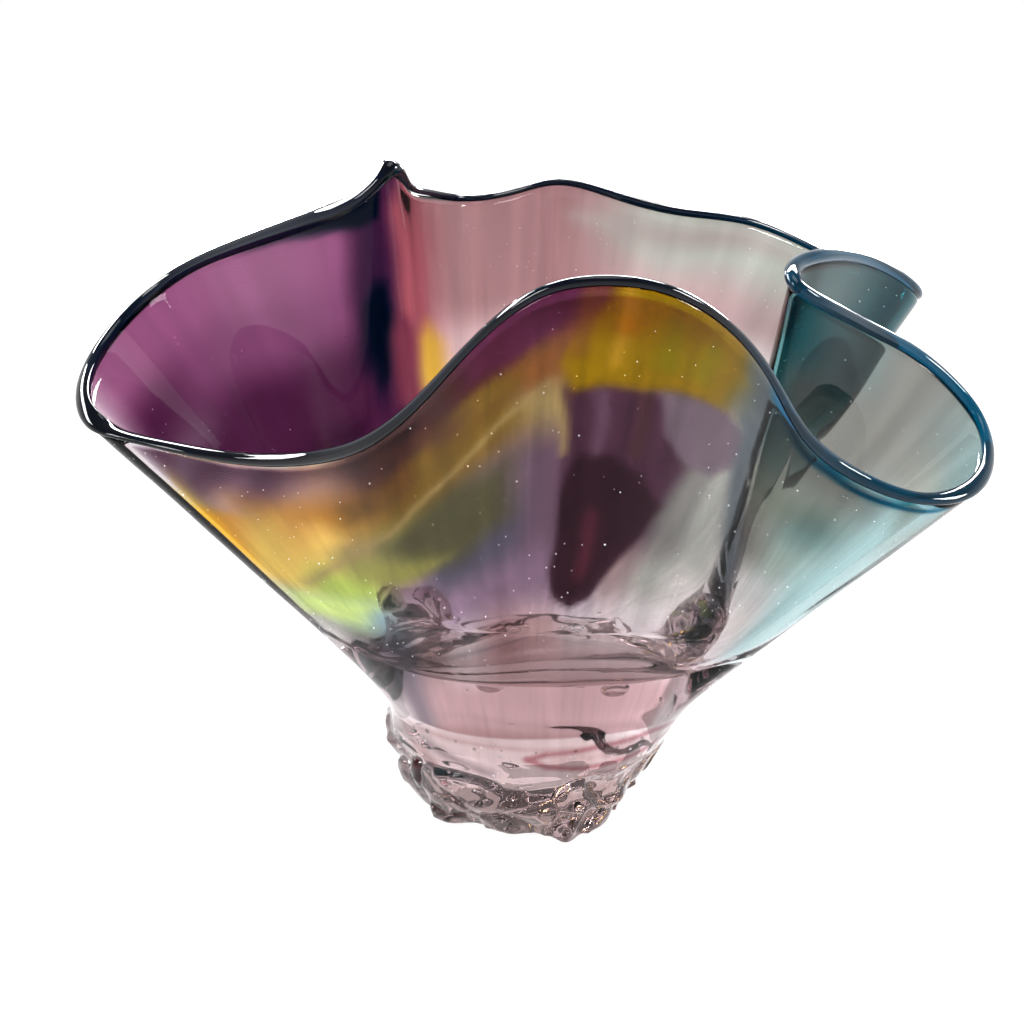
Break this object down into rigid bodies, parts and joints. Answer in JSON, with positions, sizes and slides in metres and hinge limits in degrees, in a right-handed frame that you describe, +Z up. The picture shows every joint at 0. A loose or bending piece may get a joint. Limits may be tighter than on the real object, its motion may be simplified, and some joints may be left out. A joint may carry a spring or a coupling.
{
  "type": "hand blown art glass vase",
  "caption": "Free-form handkerchief bowl of coloured blown glass with lobes and folds, a dark wrapped lip and a clear lumpy solid foot.",
  "frame": {"origin": "centre of the ground flat face under the foot", "axes": "+Z up, -Y towards the front crest of the lip, +X towards the right lobe, along the bowl's longest extent"},
  "size_m": [0.2685, 0.1658, 0.1793],
  "materials": {
    "clear_casing": "fire-polished clear glass with seed bubbles",
    "midnight_lip": "fire-polished, very dark blue-green glass",
    "amethyst": "fire-polished amethyst glass",
    "amber": "fire-polished amber and gold glass, streaked",
    "plum": "fire-polished plum-grey glass",
    "teal": "fire-polished grey-teal glass",
    "sea_green": "fire-polished sea-green glass",
    "smoke": "fire-polished mauve-smoke glass",
    "rose": "fire-polished rose glass",
    "foot_pink": "solid clear glass with a faint pink tint and bubbles",
    "foot_lumps": "rough clear lumps of glass, fire-softened edges",
    "garnet": "dark red transparent glass"
  },
  "bodies": {
    "root": {"bowl_casing": "clear_casing", "lip_wrap": "midnight_lip", "left_lobe_overlay": "amethyst", "amethyst_overlay": "amethyst", "amber_overlay": "amber", "crest_overlay": "amber", "plum_overlay": "plum", "teal_overlay": "teal", "sea_green_overlay": "sea_green", "smoke_overlay": "smoke", "rose_overlay": "rose", "foot_collar": "foot_pink", "foot_core": "foot_pink", "lower_lump_01": "foot_lumps", "lower_lump_02": "foot_lumps", "lower_lump_03": "foot_lumps", "lower_lump_04": "foot_lumps", "lower_lump_05": "foot_lumps", "lower_lump_06": "foot_lumps", "lower_lump_07": "foot_lumps", "lower_lump_08": "foot_lumps", "lower_lump_09": "foot_lumps", "lower_lump_10": "foot_lumps", "lower_lump_11": "foot_lumps", "upper_lump_01": "foot_lumps", "upper_lump_02": "foot_lumps", "upper_lump_03": "foot_lumps", "upper_lump_04": "foot_lumps", "upper_lump_05": "foot_lumps", "upper_lump_06": "foot_lumps", "upper_lump_07": "foot_lumps", "upper_lump_08": "foot_lumps", "upper_lump_09": "foot_lumps", "upper_lump_10": "foot_lumps", "upper_lump_11": "foot_lumps", "upper_lump_12": "foot_lumps", "garnet_chip_1": "garnet", "garnet_chip_2": "garnet", "garnet_chip_3": "garnet"}
  },
  "joints": []
}
